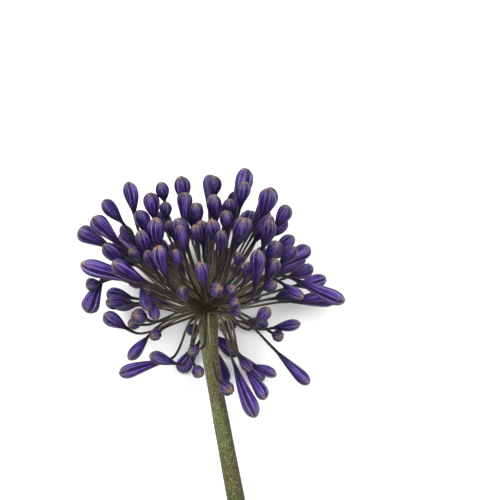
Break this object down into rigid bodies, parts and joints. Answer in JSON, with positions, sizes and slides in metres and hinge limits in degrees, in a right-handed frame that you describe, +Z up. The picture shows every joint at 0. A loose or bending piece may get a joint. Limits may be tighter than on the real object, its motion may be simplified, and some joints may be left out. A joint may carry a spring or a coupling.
{
  "type": "agapanthus flower head",
  "caption": "Cut agapanthus flower head lying down: a round umbel of closed club-shaped violet buds on thin pedicels at the end of a thick bare stalk.",
  "frame": {"origin": "on the table under the middle of the flower's outline", "axes": "+Z up from the table it lies on; +Y along the flower from the cut end of its stalk towards the head; +X across, to the right for a viewer who looks down on it with the head away from them"},
  "size_m": [0.1476, 0.2224, 0.1144],
  "materials": {
    "scape": "matt grey-green plant stalk with fine brown stipple",
    "umbel": "satin violet petals on dull olive-brown pedicels"
  },
  "bodies": {
    "root": {"scape": "scape", "umbel": "umbel"}
  },
  "joints": []
}
